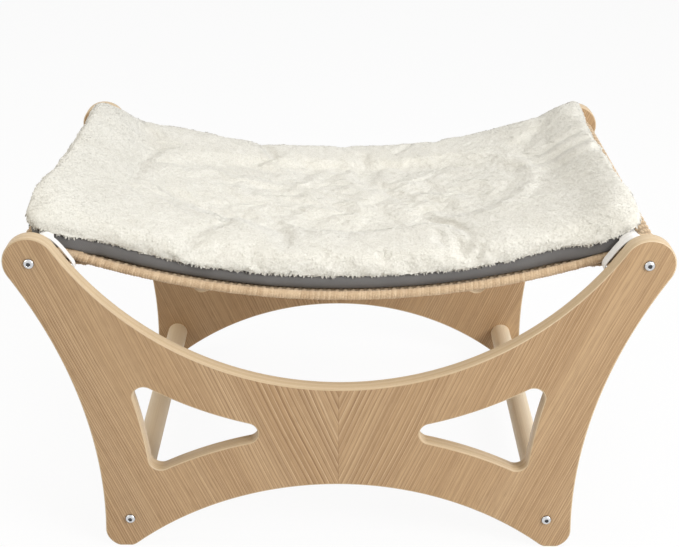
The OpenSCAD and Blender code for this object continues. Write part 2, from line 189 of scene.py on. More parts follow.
def makeGrain():
    f = grainForm
    tree, got = makeGroup("wood_grain", dict(Across=0.0, Along=0.0, Seed=0.0, Wander=14.0, Pitch=4.5),
                          ("Tone", "Line", "Light", "Fine", "Pore"))
    across, along, seed = got["Across"], got["Along"], got["Seed"]
    slow = vectorOf(tree, times(tree, across, f["drift"][0]), times(tree, along, f["drift"][1]), seed)
    drift = calc(tree, "SUBTRACT", noiseAt(tree, slow, 1.0, 2.0, 0.4), 0.5)
    moved = calc(tree, "MULTIPLY_ADD", drift, got["Wander"], across)

    def streak(key):
        acrossScale, alongScale, offset, detail = f[key]
        place = vectorOf(tree, times(tree, moved, acrossScale), times(tree, along, alongScale),
                         plus(tree, seed, offset))
        return noiseAt(tree, place, 1.0, detail)

    # growth lines: each darkens slowly and ends sharply, and they crowd towards one side
    crowded = times(tree, calc(tree, "MULTIPLY_ADD", moved, f["crowding"], 1.0), moved)
    beat = times(tree, streak("beat"), f["beatSize"])
    phase = plus(tree, calc(tree, "DIVIDE", crowded, got["Pitch"]), beat)
    part = calc(tree, "FRACT", phase)
    number = plus(tree, calc(tree, "FLOOR", phase), seed)
    chance = put(tree, "ShaderNodeTexWhiteNoise", {"W": number}, noise_dimensions="1D").outputs["Value"]
    weight = times(tree, spread(tree, chance, 0.0, 1.0, f["weakest"], 1.0),
                   spread(tree, streak("patch"), 0.36, 0.6, 0.3, 1.0))
    put(tree, "NodeGroupOutput", {
        "Tone": spread(tree, streak("broad"), 0.3, 0.7),
        "Line": times(tree, spread(tree, part, *f["dark"]), weight),
        "Light": times(tree, spread(tree, part, *f["pale"]), weight),
        "Fine": spread(tree, streak("fine"), 0.4, 0.66),
        "Pore": spread(tree, streak("pore"), 0.54, 0.68)})
    return tree


# soft unevenness of colour for cut edges, metal and cloth
def makeMottle():
    tree, got = makeGroup("soft_mottle", dict(Place=(0, 0, 0), Coarse=0.02, Fine=0.4), ("Coarse", "Fine"))
    put(tree, "NodeGroupOutput", {key: spread(tree, noiseAt(tree, got["Place"], got[key], 2.0), 0.3, 0.7)
                                  for key in ("Coarse", "Fine")})
    return tree


# over and under threads on a cloth's own map, in millimetres
def makeThreads():
    tree, got = makeGroup("cloth_threads", dict(Place=(0, 0, 0), Pitch=1.0), ("Height",))
    waves = []
    for part in apart(tree, got["Place"])[:2]:
        waves.append(calc(tree, "SINE", times(tree, calc(tree, "DIVIDE", part, got["Pitch"]), math.pi)))
    put(tree, "NodeGroupOutput", {"Height": spread(tree, times(tree, *waves), -1.0, 1.0)})
    return tree


grain = makeGrain()
mottle = makeMottle()
threads = makeThreads()


def spotsOf(tree, coarse, fine):
    return useGroup(tree, mottle, {"Place": objectPlace(tree), "Coarse": coarse, "Fine": fine})


def weaveOf(tree, pitch):
    place = stored(tree, "clothPlace", "Vector")
    return useGroup(tree, threads, {"Place": place, "Pitch": pitch})["Height"]


# materials; a bump has its strength and its distance in metres, and spots their two scales

veneerLook = dict(lean=67, pitch=3.9, wander=12.0, sideSeed=4.35, depthSeed=0.013, rough=0.48,
                  base=(0.455, 0.29, 0.145, 1), pale=(0.52, 0.35, 0.19, 1), line=(0.245, 0.132, 0.056, 1),
                  light=(0.63, 0.455, 0.285, 1), pore=(0.16, 0.085, 0.036, 1), lineShare=0.95,
                  fineShare=0.42, poreShare=0.28, poreRough=0.18, seam=0.7, seamShare=0.5, lightHeight=0.4,
                  bump=(0.3, 0.0002))


# the grain of the two halves meets in a V at the middle
def makeVeneer():
    f = veneerLook
    material, tree, shader = newMaterial("oak_veneer", Roughness=f["rough"])
    x, y, z = apart(tree, objectPlace(tree))
    half = calc(tree, "ABSOLUTE", x)
    sine, cosine = math.sin(math.radians(f["lean"])), math.cos(math.radians(f["lean"]))
    got = useGroup(tree, grain, {
        "Across": weighted(tree, (half, sine), (z, -cosine)),
        "Along": weighted(tree, (half, cosine), (z, sine)),
        "Seed": weighted(tree, (calc(tree, "SIGN", x), f["sideSeed"]), (y, f["depthSeed"])),
        "Wander": f["wander"], "Pitch": f["pitch"]})
    colour = layered(tree, f["base"], (got["Tone"], f["pale"]),
                     (times(tree, got["Line"], f["lineShare"]), f["line"]),
                     (got["Light"], f["light"]),
                     (times(tree, got["Fine"], f["fineShare"]), f["line"]),
                     (times(tree, got["Pore"], f["poreShare"]), f["pore"]),
                     (spread(tree, half, f["seam"], 0.0, 0.0, f["seamShare"]), f["line"]))
    height = calc(tree, "SUBTRACT", times(tree, got["Light"], f["lightHeight"]), got["Pore"])
    connect(tree, shader, colour, bumpFrom(tree, height, *f["bump"]),
            calc(tree, "MULTIPLY_ADD", got["Pore"], f["poreRough"], f["rough"]))
    return material


edgeLook = dict(ply=1.6, seed=2.0, wander=4.0, pitch=5.0, rough=0.5, roughRange=(0.42, 0.58),
                base=(0.54, 0.405, 0.25, 1), pale=(0.64, 0.51, 0.345, 1), line=(0.42, 0.28, 0.15, 1),
                lineShare=0.22, spots=(0.03, 0.5), spotShare=0.14, bump=(0.2, 0.0002))


def makeEdgeWood():
    f = edgeLook
    material, tree, shader = newMaterial("board_edge_wood", Roughness=f["rough"])
    x, y, z = apart(tree, objectPlace(tree))
    got = useGroup(tree, grain, {"Across": times(tree, y, f["ply"]), "Along": plus(tree, x, z),
                                 "Seed": f["seed"], "Wander": f["wander"], "Pitch": f["pitch"]})
    spot = spotsOf(tree, *f["spots"])
    colour = layered(tree, f["base"], (got["Fine"], f["pale"]),
                     (times(tree, got["Line"], f["lineShare"]), f["line"]),
                     (times(tree, spot["Fine"], f["spotShare"]), f["line"]))
    connect(tree, shader, colour, bumpFrom(tree, got["Fine"], *f["bump"]),
            spread(tree, spot["Coarse"], 0.0, 1.0, *f["roughRange"]))
    return material


dowelLook = dict(slant=0.7, seedScale=0.02, wander=6.0, pitch=3.6, rough=0.5, poreRough=0.15,
                 base=(0.71, 0.575, 0.395, 1), pale=(0.82, 0.705, 0.53, 1), line=(0.56, 0.41, 0.25, 1),
                 lineShare=0.4, fineShare=0.2, bump=(0.2, 0.0002))


def makeDowelWood():
    f = dowelLook
    material, tree, shader = newMaterial("dowel_wood", Roughness=f["rough"])
    x, y, z = apart(tree, objectPlace(tree))
    got = useGroup(tree, grain, {"Across": plus(tree, x, times(tree, z, f["slant"])), "Along": y,
                                 "Seed": times(tree, x, f["seedScale"]),
                                 "Wander": f["wander"], "Pitch": f["pitch"]})
    colour = layered(tree, f["base"], (got["Tone"], f["pale"]),
                     (times(tree, got["Line"], f["lineShare"]), f["line"]),
                     (times(tree, got["Fine"], f["fineShare"]), f["line"]))
    connect(tree, shader, colour, bumpFrom(tree, got["Fine"], *f["bump"]),
            calc(tree, "MULTIPLY_ADD", got["Pore"], f["poreRough"], f["rough"]))
    return material


metalLook = {
    # deep is the colour of painted shade, laid into the bolt's hex socket and round the foot of its head
    "bolt_steel": dict(tint=(0.70, 0.71, 0.72, 1), worn=(0.52, 0.53, 0.55, 1), rough=0.24,
                       deep=(0.03, 0.03, 0.032, 1)),
    "insert_brass": dict(tint=(0.80, 0.62, 0.34, 1), worn=(0.58, 0.43, 0.22, 1), rough=0.35, deep=None),
}


def makeMetal(name):
    f = metalLook[name]
    material, tree, shader = newMaterial(name, Metallic=1.0, Roughness=f["rough"])
    spot = spotsOf(tree, 0.35, 3.0)
    colour = layered(tree, f["tint"], (times(tree, spot["Coarse"], 0.5), f["worn"]))
    # painted shade: the socket and the foot of the head go towards the deep colour where the value stored
    # on the bolt's rings is low
    if f["deep"]:
        colour = layered(tree, colour, (spread(tree, stored(tree, "outOfShade"), 0.0, 0.7, 0.92, 0.0), f["deep"]))
    connect(tree, shader, colour, bumpFrom(tree, spot["Fine"], 0.12, 0.0001),
            spread(tree, spot["Fine"], 0.0, 1.0, f["rough"] - 0.08, f["rough"] + 0.1))
    return material


# dark is the colour of painted shade, laid into the hollows of the weave and the grooves between the cord's
# turns
sisalLook = {
    "woven_sisal": dict(base=(0.54, 0.38, 0.22, 1), pale=(0.72, 0.56, 0.37, 1), dark=(0.22, 0.13, 0.06, 1),
                        across=2.2, along=0.5),
    "sisal_cord": dict(base=(0.42, 0.28, 0.16, 1), pale=(0.68, 0.515, 0.335, 1),
                       dark=(0.12, 0.068, 0.03, 1), across=0.7, along=2.2),
}


def makeSisal(name):
    f = sisalLook[name]
    material, tree, shader = newMaterial(name, Roughness=0.85, Sheen_Weight=0.15, Sheen_Roughness=0.5)
    x, y, z = apart(tree, objectPlace(tree))
    place = vectorOf(tree, times(tree, x, f["across"]), times(tree, y, f["along"]),
                     times(tree, z, f["across"]))
    fibre = spread(tree, noiseAt(tree, place, 1.0, 2.0), 0.3, 0.7)
    tone = weighted(tree, (fibre, 0.5), (stored(tree, "yarnTone"), 0.5))
    # painted shade: the colour goes towards dark where the yarns lie low
    valley = spread(tree, stored(tree, "yarnHeight"), 0.0, 0.5, 0.7, 0.0)
    colour = layered(tree, f["base"], (tone, f["pale"]), (valley, f["dark"]))
    connect(tree, shader, colour, bumpFrom(tree, fibre, 0.55, 0.0004))
    return material


fabricLook = dict(base=(0.105, 0.102, 0.10, 1), pale=(0.172, 0.167, 0.163, 1), rough=0.8, pitch=0.9,
                  spots=(0.035, 0.9), bump=(0.5, 0.0003))


def makeBaseFabric():
    f = fabricLook
    material, tree, shader = newMaterial("grey_base_fabric", Roughness=f["rough"], Sheen_Weight=0.25,
                                         Sheen_Roughness=0.4)
    weave = weaveOf(tree, f["pitch"])
    spot = spotsOf(tree, *f["spots"])
    tone = weighted(tree, (weave, 0.4), (spot["Coarse"], 0.35), (spot["Fine"], 0.25))
    connect(tree, shader, layered(tree, f["base"], (tone, f["pale"])), bumpFrom(tree, weave, *f["bump"]))
    return material


elasticLook = dict(base=(0.74, 0.72, 0.69, 1), pale=(0.86, 0.85, 0.83, 1), rough=0.7, pitch=0.7,
                   bump=(0.4, 0.0002))


def makeElastic():
    f = elasticLook
    material, tree, shader = newMaterial("white_elastic", Roughness=f["rough"], Sheen_Weight=0.2,
                                         Sheen_Roughness=0.4)
    weave = weaveOf(tree, f["pitch"])
    # painted highlight and shade: the crests of the ribs are paler and the grooves between them darker
    tone = weighted(tree, (stored(tree, "ribHeight"), 0.75), (weave, 0.25))
    connect(tree, shader, layered(tree, f["base"], (tone, f["pale"])), bumpFrom(tree, weave, *f["bump"]))
    return material


# root is the colour of painted shade at the roots of the locks and in the hollows of the fleece
fleeceLook = dict(base=(0.69, 0.67, 0.595, 1), pale=(0.795, 0.78, 0.715, 1), root=(0.52, 0.495, 0.425, 1),
                  rough=0.95, spots=(0.03, 0.45), bump=(0.35, 0.0006))


def makeFleece():
    f = fleeceLook
    material, tree, shader = newMaterial("cream_fleece", Roughness=f["rough"], Sheen_Weight=0.35,
                                         Sheen_Roughness=0.6)
    spot = spotsOf(tree, *f["spots"])
    tone = weighted(tree, (spot["Coarse"], 0.5), (spot["Fine"], 0.5))
    # painted shade: the colour goes towards root where pileTip is low, at the locks' roots and in the
    # hollows of the fleece's rough surface
    deep = spread(tree, stored(tree, "pileTip"), 0.0, 0.6, 0.6, 0.0)
    colour = layered(tree, f["base"], (tone, f["pale"]), (deep, f["root"]))
    connect(tree, shader, colour, bumpFrom(tree, spot["Fine"], *f["bump"]))
    return material


waddingLook = dict(base=(0.80, 0.80, 0.79, 1), pale=(0.90, 0.90, 0.89, 1), rough=0.95, spots=(0.05, 0.6),
                   bump=(0.4, 0.0008))


def makeWaddingLook():
    f = waddingLook
    material, tree, shader = newMaterial("white_wadding", Roughness=f["rough"], Sheen_Weight=0.3)
    fine = spotsOf(tree, *f["spots"])["Fine"]
    connect(tree, shader, layered(tree, f["base"], (fine, f["pale"])), bumpFrom(tree, fine, *f["bump"]))
    return material


threadLook = dict(base=(0.55, 0.44, 0.30, 1), pale=(0.76, 0.66, 0.50, 1), rough=0.7, slant=1.6, twist=7.0,
                  bump=(0.4, 0.0002))


def makeThread():
    f = threadLook
    material, tree, shader = newMaterial("seam_thread", Roughness=f["rough"], Sheen_Weight=0.2)
    x, y = apart(tree, objectPlace(tree))[:2]
    twist = calc(tree, "SINE", times(tree, plus(tree, y, times(tree, x, f["slant"])), f["twist"]))
    colour = layered(tree, f["base"], (spread(tree, twist, -1.0, 1.0), f["pale"]))
    connect(tree, shader, colour, bumpFrom(tree, twist, *f["bump"]))
    return material


veneer = makeVeneer()
edgeWood = makeEdgeWood()
dowelWood = makeDowelWood()
steel = makeMetal("bolt_steel")
brass = makeMetal("insert_brass")
sisalSheet = makeSisal("woven_sisal")
sisalCord = makeSisal("sisal_cord")
baseFabric = makeBaseFabric()
elastic = makeElastic()
fleece = makeFleece()
wadding = makeWaddingLook()
thread = makeThread()
print("materials made")


# mesh helpers; points are in millimetres

# faces between closed rings of points; closed=True also joins the last ring to the first
def ringFaces(rings, count, start=0, closed=False):
    i, j = np.meshgrid(np.arange(rings if closed else rings - 1), np.arange(count), indexing="ij")
    up, side = (i + 1) % rings, (j + 1) % count
    quads = np.stack([i * count + j, i * count + side, up * count + side, up * count + j], -1)
    return (quads.reshape(-1, 4) + start).tolist()


# the same with both ends filled, for rings whose two halves mirror each other
def tubeFaces(rings, count, start=0):
    faces = ringFaces(rings, count, start)
    for first in (start, start + (rings - 1) * count):
        faces += [[first + k, first + k + 1, first + count - 2 - k, first + count - 1 - k]
                  for k in range(count // 2 - 1)]
    return faces


def makePiece(name, points, faces, materials, faceMaterial=None, flat=None, turn=True):
    mesh = bpy.data.meshes.new(name)
    mesh.from_pydata((np.asarray(points, float).reshape(-1, 3) * mm).tolist(), [], faces)
    piece = bpy.data.objects.new(name, mesh)
    scene.collection.objects.link(piece)
    for material in materials:
        mesh.materials.append(material)
    if faceMaterial is not None:
        mesh.polygons.foreach_set("material_index", np.asarray(faceMaterial, np.int32))
    rounded = np.ones(len(mesh.polygons), bool)
    if flat is not None:
        rounded[np.asarray(flat, bool)] = False
    mesh.polygons.foreach_set("use_smooth", rounded)
    if turn:
        form = bmesh.new()
        form.from_mesh(mesh)
        bmesh.ops.recalc_face_normals(form, faces=form.faces)
        form.to_mesh(mesh)
        form.free()
    mesh.update()
    return piece


def setValues(piece, label, values):
    layer = piece.data.attributes.new(label, "FLOAT", "POINT")
    layer.data.foreach_set("value", np.asarray(values, np.float32).ravel())


def setPlaces(piece, label, values):
    layer = piece.data.attributes.new(label, "FLOAT_VECTOR", "POINT")
    layer.data.foreach_set("vector", np.asarray(values, np.float32).ravel())


# a mesh's points and the normals at them
def readMesh(mesh):
    co, no = np.zeros((2, len(mesh.vertices) * 3), np.float32)
    mesh.vertices.foreach_get("co", co)
    mesh.vertex_normals.foreach_get("vector", no)
    return co.reshape(-1, 3).astype(float) / mm, no.reshape(-1, 3).astype(float)


def writePoints(mesh, points):
    mesh.vertices.foreach_set("co", (points * mm).astype(np.float32).ravel())
    mesh.update()


def turnOf(count):
    return np.linspace(0, 2 * math.pi, count + 1)[:-1]


def unit(vectors):
    return vectors / np.maximum(np.linalg.norm(vectors, axis=1), 1e-6)[:, None]


def lengthsOn(path):
    return np.concatenate([[0], np.cumsum(np.linalg.norm(np.diff(path, axis=0), axis=1))])


# a path again with even steps of about the given length, their number a multiple of divide
def evenly(path, step, divide):
    along = lengthsOn(path)
    at = np.linspace(0, along[-1], divide * round(along[-1] / step / divide) + 1)
    return np.stack([np.interp(at, along, path[:, k]) for k in range(path.shape[1])], -1), along[-1]


def pathNormals(path):
    t = unit(np.gradient(path, axis=0))
    return np.stack([-t[:, 1], t[:, 0]], -1)


def smooth(t):
    t = np.clip(t, 0, 1)
    return t * t * (3 - 2 * t)


def noiseOn(points, size, seed):
    offset = Vector((seed, 2.3 * seed, 0.7 * seed))
    return np.array([noise.noise(Vector(p) / size + offset) for p in points])


# boards

boardForm = dict(inner=183, thickness=15, spacing=261, height=286, lobe=23, footSpacing=197, foot=18,
                 footHeight=17, dip=166, arch=67.5, side=436, upperRail=45, sideRail=46, lowerRail=53,
                 corner=10, edgeRound=1.2, roundSteps=4, lowerSeat=(191.5, 30), boltHole=2.75, holeSides=32,
                 edgeStep=4, lobeStep=1.6, railStep=3, cornerStep=0.8)
outerFace = boardForm["inner"] + boardForm["thickness"]
upperSeat = np.array([boardForm["spacing"], boardForm["height"]], float)
seats = {f"{level}_{label}": (side * x, z)
         for level, (x, z) in (("top", upperSeat), ("bottom", boardForm["lowerSeat"]))
         for label, side in (("left", -1), ("right", 1))}


def circlesMeet(c1, r1, c2, r2, side):
    c1, c2 = np.asarray(c1, float), np.asarray(c2, float)
    gap = np.linalg.norm(c2 - c1)
    along = (r1 * r1 - r2 * r2 + gap * gap) / (2 * gap)
    across = math.sqrt(r1 * r1 - along * along)
    e = (c2 - c1) / gap
    return c1 + along * e + side * across * np.array([-e[1], e[0]])


# points on a circle from the direction of p to that of q
def arcRun(centre, radius, p, q, turn, step):
    a = math.atan2(p[1] - centre[1], p[0] - centre[0])
    b = math.atan2(q[1] - centre[1], q[0] - centre[0])
    if turn > 0 and b < a:
        b += 2 * math.pi
    if turn < 0 and b > a:
        b -= 2 * math.pi
    t = np.linspace(a, b, max(4, math.ceil(abs(b - a) * radius / step)) + 1)
    return np.asarray(centre) + radius * np.stack([np.cos(t), np.sin(t)], -1)


def flipped(points):
    return points[::-1] * np.array([-1, 1])


def tidyLoop(points):
    keep = np.linalg.norm(points - np.roll(points, 1, axis=0), axis=1) > 1e-4
    return points[keep]


# the outline and the two windows, from arcs that touch
def boardLoops():
    f = boardForm
    foot = np.array([f["footSpacing"], f["footHeight"]], float)
    topRise = f["height"] - f["dip"] + f["lobe"]
    topLift = (f["spacing"] ** 2 - topRise ** 2) / (2 * topRise)
    top, topRadius = np.array([0, f["height"] + topLift]), topLift + f["height"] - f["dip"]
    archRise = f["arch"] - f["footHeight"] + f["foot"]
    archDrop = (f["footSpacing"] ** 2 - archRise ** 2) / (2 * archRise)
    arch, archRadius = np.array([0, f["footHeight"] - archDrop]), archDrop + f["arch"] - f["footHeight"]
    side = circlesMeet(upperSeat, f["side"] + f["lobe"], foot, f["side"] + f["foot"], 1)
    long, short = f["edgeStep"], f["lobeStep"]
    half = np.concatenate([
        arcRun(top, topRadius, (0, 0), upperSeat, 1, long),
        arcRun(upperSeat, f["lobe"], top, side, -1, short),
        arcRun(side, f["side"], upperSeat, foot, 1, long),
        arcRun(foot, f["foot"], side, arch, -1, short),
        arcRun(arch, archRadius, foot, (0, f["arch"]), 1, long)])
    outline = tidyLoop(np.concatenate([half, flipped(half)]))
    outline[:, 1] = np.maximum(outline[:, 1], 0)
    c = f["corner"]
    wTop, wSide, wLow = topRadius + f["upperRail"], f["side"] + f["sideRail"], archRadius + f["lowerRail"]
    up = circlesMeet(top, wTop + c, side, wSide + c, -1)
    into = circlesMeet(top, wTop + c, arch, wLow + c, 1)
    low = circlesMeet(side, wSide + c, arch, wLow + c, -1)
    long, short = f["railStep"], f["cornerStep"]
    window = tidyLoop(np.concatenate([
        arcRun(into, c, arch, top, -1, short), arcRun(top, wTop, into, up, 1, long),
        arcRun(up, c, top, side, -1, short), arcRun(side, wSide, up, low, 1, long),
        arcRun(low, c, side, arch, -1, short), arcRun(arch, wLow, low, into, 1, long)]))
    return outline, [window, flipped(window)]


# unit vectors that point out of the form, along a loop
def outwards(loop, hole):
    t = np.roll(loop, -1, axis=0) - np.roll(loop, 1, axis=0)
    n = unit(np.stack([t[:, 1], -t[:, 0]], -1))
    x, z = loop[:, 0], loop[:, 1]
    turn = np.sum(x * np.roll(z, -1) - z * np.roll(x, -1))
    return n * (1 if (turn > 0) != hole else -1)


def makeBoard(name, node, yFront, yBack):
    outline, windows = boardLoops()
    r = boardForm["edgeRound"]
    bend = np.linspace(0, math.pi / 2, boardForm["roundSteps"])
    section = [(-r + r * math.sin(a), yFront + r * (1 - math.cos(a))) for a in bend]
    section += [(-r + r * math.sin(a), yBack - r * (1 - math.cos(a))) for a in bend[::-1]]
    turn = turnOf(boardForm["holeSides"])
    ring = np.stack([np.cos(turn), np.sin(turn)], -1) * boardForm["boltHole"]
    loops = [(outline, False, section)] + [(w, True, section) for w in windows]
    loops += [(np.array(s) + ring, True, [(0, yFront), (0, yBack)]) for s in seats.values()]
    points, faces, fronts, backs, start = [], [], [], [], 0
    for loop, hole, profile in loops:
        n = outwards(loop, hole)
        for offset, y in profile:
            p = loop + n * offset
            points.append(np.stack([p[:, 0], np.full(len(p), y), p[:, 1]], -1))
        faces += ringFaces(len(profile), len(loop), start)
        fronts.append((loop + n * profile[0][0], start))
        backs.append((loop + n * profile[-1][0], start + (len(profile) - 1) * len(loop)))
        start += len(profile) * len(loop)
    kinds = [1] * len(faces)
    for level in (fronts, backs):
        ids = np.concatenate([first + np.arange(len(loop)) for loop, first in level])
        flat = [[Vector((x, z, 0)) for x, z in loop] for loop, first in level]
        fill = geometry.tessellate_polygon(flat)
        faces += [[int(ids[i]) for i in t] for t in fill]
        kinds += [0] * len(fill)
    kinds = np.array(kinds)
    board = makePiece(name, np.concatenate(points), faces, [veneer, edgeWood], kinds, kinds == 0)
    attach(board, "frame")
    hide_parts(node)


makeBoard("board_front", "front_panel", -outerFace, -boardForm["inner"])
makeBoard("board_rear", "rear_panel", boardForm["inner"], outerFace)
print("boards made")


# button-head bolts

boltForm = dict(head=4.5, height=2.6, rim=0.6, under=0.25, underRise=0.2, domeTurn=64, domeSteps=9,
                socket=1.75, depth=1.5, lip=0.08, lipWide=0.16, lipDrop=0.14, wellRise=0.25, wellDeep=0.35,
                shank=2.5, length=30, pitch=0.8, groove=0.35, point=0.6, centre=0.01, sides=48, sharp=38,
                spin=0.4, spinStep=0.9, rearSpin=0.5)


def makeBolts():
    f = boltForm
    turn = turnOf(f["sides"])
    hexagon = f["socket"] / np.cos((turn % (math.pi / 3)) - math.pi / 6)
    dome = [(f["head"] * math.cos(a), f["rim"] + (f["height"] - f["rim"]) * math.sin(a))
            for a in np.linspace(0, math.radians(f["domeTurn"]), f["domeSteps"])]
    rows = [(f["centre"], -f["length"])]
    for k, z in enumerate(np.arange(-f["length"] + f["point"], -f["pitch"], f["pitch"] / 2)):
        rows.append((f["shank"] - (f["groove"] if k % 2 else 0.0), z))
    rows += [(f["shank"], 0.0), (f["head"] - f["under"], 0.0), (f["head"], f["underRise"])]
    plain = len(rows)
    rows += dome
    top = dome[-1][1] + f["lip"]
    bottom = top - f["depth"]
    rows += [(hexagon + f["lipWide"], top), (hexagon, top - f["lipDrop"]), (hexagon, bottom),
             (hexagon * 0.5, bottom - f["wellRise"]), (f["centre"], bottom - f["wellDeep"])]
    # a share for the painted shade on each ring: 0, darkest, at the foot of the dome and down in the
    # socket, 1 on top of the dome and at the socket's lip; the shank in the board gets 0.2
    outOfShade = [0.2] * plain + list(np.linspace(0.0, 1.0, len(dome)) ** 0.6) + [1.0, 0.5, 0.0, 0.0, 0.0]
    for end, face in (("front", -1), ("rear", 1)):
        for count, (seat, (sx, sz)) in enumerate(seats.items()):
            spin = turn + (f["spin"] + f["spinStep"] * count + (f["rearSpin"] if face > 0 else 0.0))
            points = []
            for radius, z in rows:
                y = np.full(len(turn), face * (outerFace + z))
                points.append(np.stack([sx + radius * np.cos(spin), y, sz + radius * np.sin(spin)], -1))
            faces = ringFaces(len(rows), len(turn))
            last = (len(rows) - 1) * len(turn)
            faces += [list(range(len(turn))), list(range(last, last + len(turn)))]
            bolt = makePiece(f"button_bolt_{end}_{seat}", np.concatenate(points), faces, [steel])
            setValues(bolt, "outOfShade", np.repeat(outOfShade, len(turn)))
            bolt.data.set_sharp_from_angle(angle=math.radians(f["sharp"]))
            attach(bolt, "frame")
            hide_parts(f"bolt_{end}_{seat}")


makeBolts()
for name, node in nodes.items():
    if name.startswith("dowel") or name.startswith("insert"):
        node.data.materials.clear()
        node.data.materials.append(dowelWood if name.startswith("dowel") else brass)
print("dowels and fasteners finished")


# woven sling

slingForm = dict(thick=4.5, low=242, aim=5, edge=163, tail=45, lap=12, bore=11.15, weft=3.6, warpColumns=66,
                 swing=0.7, yarn=1.3, flank=0.8, core=0.9, jitter=0.05, selvedge=1.6, selvedgeRise=1.5,
                 selvedgeTurn=0.66, ease=6, seed=11)
sag = upperSeat[1] + slingForm["aim"] - slingForm["low"]
sheetRadius = (upperSeat[0] ** 2 + sag ** 2) / (2 * sag)
sheetCentre = slingForm["low"] + sheetRadius
tailX = upperSeat[0] - slingForm["tail"]


def sheetHeight(x, above):
    return sheetCentre - np.sqrt((sheetRadius - above) ** 2 - np.asarray(x, float) ** 2)


# the direction from a circle's centre to where a line from p touches it
def touchAngle(p, centre, radius, side):
    d = np.asarray(p) - centre
    return math.atan2(d[1], d[0]) % (2 * math.pi) + side * math.acos(radius / np.linalg.norm(d))


# the middle of the sheet from the left tail, round both dowels, to the right tail
def slingPath():
    radius = slingForm["bore"] + slingForm["thick"] / 2
    x = np.linspace(0, tailX, 200)
    arc = np.stack([x, sheetHeight(x, 0)], -1)
    p = arc[-1]
    q = p - np.array([0, slingForm["thick"]])
    wrap = np.linspace(touchAngle(p, upperSeat, radius, -1),
                       touchAngle(q, upperSeat, radius, 1) - 2 * math.pi, 60)
    turn = upperSeat + radius * np.stack([np.cos(wrap), np.sin(wrap)], -1)
    half = np.concatenate([arc, turn, [q]])
    whole = np.concatenate([flipped(half), half[1:]])
    path, length = evenly(whole, slingForm["weft"] / 3, 3)
    for _ in range(slingForm["ease"]):
        path[1:-1] = 0.5 * path[1:-1] + 0.25 * (path[:-2] + path[2:])
    return path, length


# three rings to each weft yarn, and warp columns that go over and under by turns
def makeSling():
    f = slingForm
    path, length = slingPath()
    n = pathNormals(path)
    k = np.arange(len(path))
    yarnIndex = (k + 1) // 3
    crest = np.where(k % 3 == 0, f["yarn"], f["flank"])
    wide = f["edge"] - f["selvedge"]
    v = np.linspace(-wide, wide, 2 * f["warpColumns"] - 1)
    m = len(v)
    rng = np.random.default_rng(f["seed"])
    jitter = rng.normal(0, f["jitter"], len(path) // 3 + 2)[yarnIndex]
    over = np.cos(math.pi * ((np.arange(m) / 2.0)[None, :] + yarnIndex[:, None]))
    top = np.maximum(f["swing"] * over + crest[:, None] + jitter[:, None], f["core"])
    low = np.maximum(-f["swing"] * over + crest[:, None] + jitter[:, None], f["core"])
    columns = 2 * m + 6
    y, h, tall = np.zeros((3, len(path), columns))
    right, under, left = slice(m, m + 3), slice(m + 3, 2 * m + 3), slice(2 * m + 3, None)
    y[:, :m], h[:, :m] = v, top
    y[:, under], h[:, under] = v[::-1], -low[:, ::-1]
    bend = np.array([0.5, 0.0, -0.5]) * math.pi * f["selvedgeTurn"]
    edge = (0.7 + 0.3 * crest / f["yarn"])[:, None]
    y[:, right] = wide + f["selvedge"] * np.cos(bend) * edge
    h[:, right] = f["selvedgeRise"] * np.sin(bend) * edge
    y[:, left] = -wide - f["selvedge"] * np.cos(bend) * edge
    h[:, left] = -f["selvedgeRise"] * np.sin(bend) * edge
    full = f["swing"] + f["yarn"]
    tall[:, :m] = (top - f["core"]) / (full - f["core"])
    tall[:, under] = ((low - f["core"]) / (full - f["core"]))[:, ::-1]
    tall[:, right] = tall[:, left] = edge
    points = np.stack([path[:, None, 0] + n[:, None, 0] * h, y, path[:, None, 1] + n[:, None, 1] * h], -1)
    order = np.roll(np.arange(columns), -(m + 1))  # the ring starts in the middle of an edge
    points, tall = points[:, order], tall[:, order]
    faces = tubeFaces(len(path), columns)
    sheet = makePiece("woven_sheet", points, faces, [sisalSheet])
    # yarnHeight also sets where the material paints shade in the hollows of the weave
    setValues(sheet, "yarnHeight", tall)
    tone = rng.random(len(path) // 3 + 2)[yarnIndex]
    setValues(sheet, "yarnTone", np.repeat(tone[:, None], columns, 1))
    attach(sheet, "frame")
    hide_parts("sling_sheet")
    print("sling path", round(length, 1), "mm, faces", len(faces))
    return sheet, length


edgeForm = dict(core=3.5, ridge=0.5, pitch=2.4, steps=6, around=18, out=165, reach=246, loose=0.12,
                taper=3.0, leastTaper=0.04, valley=0.1, crest=0.9, seeds={"front": 21, "rear": 22})


